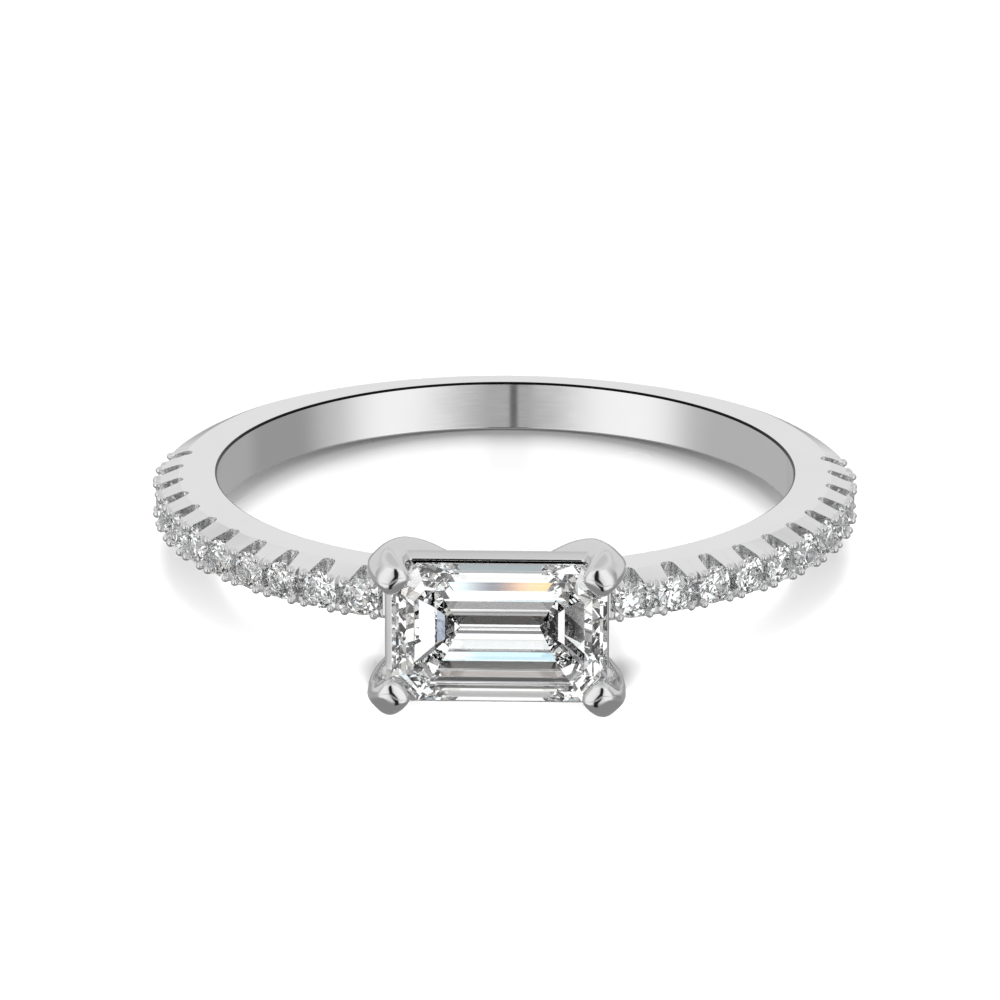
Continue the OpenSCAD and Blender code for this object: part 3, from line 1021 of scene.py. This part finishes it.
STONE_PANELS = [
    (24, 13, 50, 12, 2, WHITE),
    (-20, 14, 52, 10, 2, INK),
    (39, 10, -14, 10, 2, WHITE),
    (-39, 9, -14, 10, 2, INK),
    (-25, 3, -15.3, 3, 0.6, (0.34, 0.40, 0.50)),
    (-19.4, 2.5, -15.3, 3, 0.5, INK),
    (23, 3, -15.3, 3, 0.6, INK),
    (0, 5, 12, 22, 1, (0.45, 0.45, 0.45)),
    (0, 5, -14.5, 5, 0.8, (0.25, 0.25, 0.25)),
    (4.2, 1.6, -14.8, 1.5, 0.4, WHITE),
    (-0.5, 0.6, -14.85, 0.2, 0.1, INK),
    (0, 5, 28.6, 1, 0.5, WHITE),
    (0, 5, 30.6, 0.8, 0.3, (0.12, 0.12, 0.11)),
    (0, 5, 16.8, 1.4, 0.4, (0.22, 0.22, 0.22)),
    (0, 5, 12.6, 1.2, 0.4, (0.34, 0.34, 0.34)),
    (0, 5, 5.6, 1.4, 0.4, (0.14, 0.14, 0.15)),
    (0, 5, 8.8, 1.8, 0.4, WHITE),
    (0, 5, 19.4, 0.7, 0.3, (0.22, 0.22, 0.23)),
    (0, 5, 21.6, 0.9, 0.4, (0.76, 0.88, 0.90)),
    (0, 6, 56.5, 3, 1, (0.85, 0.88, 0.88)),
    (0, 6, 41, 3, 1, (0.34, 0.34, 0.35)),
    (0, 6, 60.5, 1.5, 0.8, WHITE),
    (0, 6, 72, 4, 1, ASH),
    (0, 5, -23.3, 1.4, 0.1, (0.80, 0.80, 0.78)),
    (0, 5, -23.45, 0.2, 0.04, INK),
    (0, 5, -26.13, 0.23, 0.03, (0.012, 0.009, 0.007)),
    (0.2, 1.1, -26.13, 0.23, 0.03, (0.34, 0.22, 0.12)),
    (0, 5, -26.86, 0.5, 0.03, WHITE),
    (0, 5, -37, 1.5, 0.6, WHITE),
    (-3.1, 1.1, -41.3, 1.6, 0.4, (0.85, 1.1, 1.15)),
    (-1.75, 0.35, -41.3, 1.6, 0.3, (0.12, 0.13, 0.17)),
    (-0.6, 0.95, -41.3, 1.6, 0.35, (1.2, 0.60, 0.22)),
    (0, 8, -50.5, 3.5, 1, (0.26, 0.25, 0.24)),
    (0, 40, -80, 3, 1, (0.22, 0.28, 0.30)),
    (0, ALL_ROUND, -88, 3, 1, (0.23, 0.20, 0.18)),
    (180, 25, -71, 3, 1, (0.25, 0.24, 0.25)),
    (180, 25, -77.5, 2.5, 1, (0.75, 0.75, 0.75)),
    (-180, 25, -71, 3, 1, (0.25, 0.24, 0.25)),
    (-180, 25, -77.5, 2.5, 1, (0.75, 0.75, 0.75)),
    (-172, 10, 84.2, 1.4, 0.6, (0.58, 0.82, 0.90)),
    (-160, 4, 84.2, 1.4, 1.5, WHITE),
    (0, ALL_ROUND, 88, 2, 0.8, (0.82, 0.82, 0.83)),
]
# Patches of the room that the stones mirror: (start, colour) for a random number from 0 to 1
SHARD_SCALE = 4.2
SHARD_STOPS = [(0.0, INK), (0.2, (0.16, 0.16, 0.17)), (0.32, (0.45, 0.43, 0.40)), (0.45, (0.78, 0.86, 0.90)),
               (0.55, WHITE)]
# Brightness of what each kind of ray meets
METAL_ROOM = 0.40
STONE_LIGHT = 1.42
SHADED_ROOM = 0.08
FLOOR_DOME = 0.66
# Lights: turn and rise in degrees, distance and size in metres, power in watts
LIGHTS = {"key": (180, 58, 0.35, 0.22, 1.0), "fill": (0, 5, 0.06, 0.012, 0.2)}
FLOOR_HALF = 0.5
STONE_BOUNCES = 48
METAL_BOUNCES = 16


class Studio(Shader):
    """World light: plain white for the camera, an even dome for the floor, panels for metal and stones."""

    def __init__(self):
        world = bpy.data.worlds.new("studio")
        bpy.context.scene.world = world
        world.use_nodes = True
        super().__init__(world.node_tree)
        self.nodes.clear()
        self.look = self.add("TexCoord").outputs["Generated"]
        axes = self.add("SeparateXYZ", Vector=self.look).outputs
        backwards = self.math("MULTIPLY", axes["Y"], -1.0)
        self.azimuth = self.math("DEGREES", self.math("ARCTAN2", axes["X"], backwards))
        self.elevation = self.math("DEGREES", self.math("ARCSINE", axes["Z"]))
        self.panel = panel_group()

    def shards(self):
        """Sharp-edged patches of white, grey and black, for the sparkle in cut stones."""
        cells = self.add("TexVoronoi", Scale=SHARD_SCALE, Vector=self.look)
        parts = self.add("SeparateColor", Color=cells.outputs["Color"])
        tones = self.add("ValToRGB", Fac=parts.outputs[0])
        ramp = tones.color_ramp
        ramp.interpolation = "CONSTANT"
        while len(ramp.elements) < len(SHARD_STOPS):
            ramp.elements.new(1.0)
        for element, (start, colour) in zip(ramp.elements, SHARD_STOPS):
            element.position = start
            element.color = (*colour, 1)
        return tones.outputs[0]

    def hung(self, colour, panels):
        """A room's colour with panels hung in front of it."""
        for turn, half_turn, height, half_height, soft, shade in panels:
            across, upright = soft if isinstance(soft, tuple) else (soft, soft)
            mask = self.add("Group", {"node_tree": self.panel}, Azimuth=self.azimuth, Elevation=self.elevation,
                            Turn=turn, Half_Turn=half_turn, Height=height, Half_Height=half_height,
                            Turn_Softness=across, Height_Softness=upright)
            colour = self.mix(mask.outputs["Mask"], colour, (*shade, 1))
        return colour

    def background(self, colour, strength=1.0):
        return self.add("Background", Color=colour, Strength=strength).outputs[0]


def studio():
    """What each kind of ray meets; light that the metal throws on the floor is dim, so shadows stay deep."""
    room = Studio()
    path = room.add("LightPath").outputs
    from_floor = room.math("GREATER_THAN", path["Diffuse Depth"], 0.5)
    seen = room.background(room.hung(grey(METAL_ROOM), METAL_PANELS))
    for chance, light in (
        (path["Is Transmission Ray"], room.background(room.hung(room.shards(), STONE_PANELS), STONE_LIGHT)),
        (from_floor, room.background(grey(SHADED_ROOM))),
        (path["Is Diffuse Ray"], room.background(grey(1.0), FLOOR_DOME)),
        (path["Is Camera Ray"], room.background(grey(1.0))),
    ):
        chosen = room.add("MixShader")
        for socket, value in zip(chosen.inputs, (chance, seen, light)):
            room.feed(socket, value)
        seen = chosen.outputs[0]
    room.add("OutputWorld", Surface=seen)


def towards(turn, rise):
    """Direction from the ring to a place at a turn and a rise in radians; turn 0 is the head's side."""
    return Vector((math.sin(turn) * math.cos(rise), -math.cos(turn) * math.cos(rise), math.sin(rise)))


def aimed(name, data, way, distance):
    """A light or camera that looks at the ring from a direction and a distance."""
    obj = bpy.data.objects.new(name, data)
    obj.location = way * distance
    obj.rotation_euler = (-way).to_track_quat("-Z", "Y").to_euler()
    bpy.context.scene.collection.objects.link(obj)
    return obj


def soft_light(name, turn, rise, away, size, power):
    """A square area light that looks at the ring and isn't mirrored in it."""
    data = bpy.data.lights.new(name, "AREA")
    data.size = size
    data.energy = power
    light = aimed(name, data, towards(math.radians(turn), math.radians(rise)), away)
    light.visible_glossy = light.visible_transmission = False


def floor(level):
    """The pale board under the ring."""
    size = FLOOR_HALF
    board = bpy.data.objects.new("board", bpy.data.meshes.new("board"))
    corners = [(-size, -size, level), (size, -size, level), (size, size, level), (-size, size, level)]
    board.data.from_pydata(corners, [], [(0, 1, 2, 3)])
    board.data.materials.append(white_board())
    board.visible_glossy = board.visible_transmission = False
    bpy.context.scene.collection.objects.link(board)


def camera():
    """The photograph's view."""
    data = bpy.data.cameras.new("camera")
    data.sensor_width = VIEW_SENSOR
    data.lens = VIEW_LENS
    data.shift_x, data.shift_y = VIEW_SHIFT
    data.clip_start, data.clip_end = VIEW_CLIP
    way = towards(math.radians(VIEW_TURN), math.radians(VIEW_RISE) + LEAN)
    bpy.context.scene.camera = aimed("camera", data, way, VIEW_DISTANCE * MM)


def dress():
    """Makes every piece, hides the CAD parts that it stands in for and lets it ride on the ring."""
    marks = polish_marks()
    band = band_piece(white_metal("polished_band", marks))
    head = head_piece(white_metal("polished_claws", marks))
    beads = bead_rows_piece(white_metal("setting_grain", marks))
    for piece in (band, head, beads):
        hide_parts("ring_metal")
        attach(piece, "root")
    clear = stone_marks()
    centre = centre_stone_piece(clear_stone("clear_step_cut", clear))
    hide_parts("centre_stone")
    rows = side_stones_piece(clear_stone("clear_round_cut", clear))
    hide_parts(*[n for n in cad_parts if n.startswith("side_stone_")])
    for piece in (centre, rows):
        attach(piece, "root")


dress()
floor(CAD_LOW.z)
studio()
for light_name, sizes in LIGHTS.items():
    soft_light(light_name, *sizes)
camera()
bpy.context.scene.view_settings.view_transform = "Standard"
cycles = bpy.context.scene.cycles
cycles.max_bounces = cycles.transmission_bounces = STONE_BOUNCES
cycles.glossy_bounces = METAL_BOUNCES
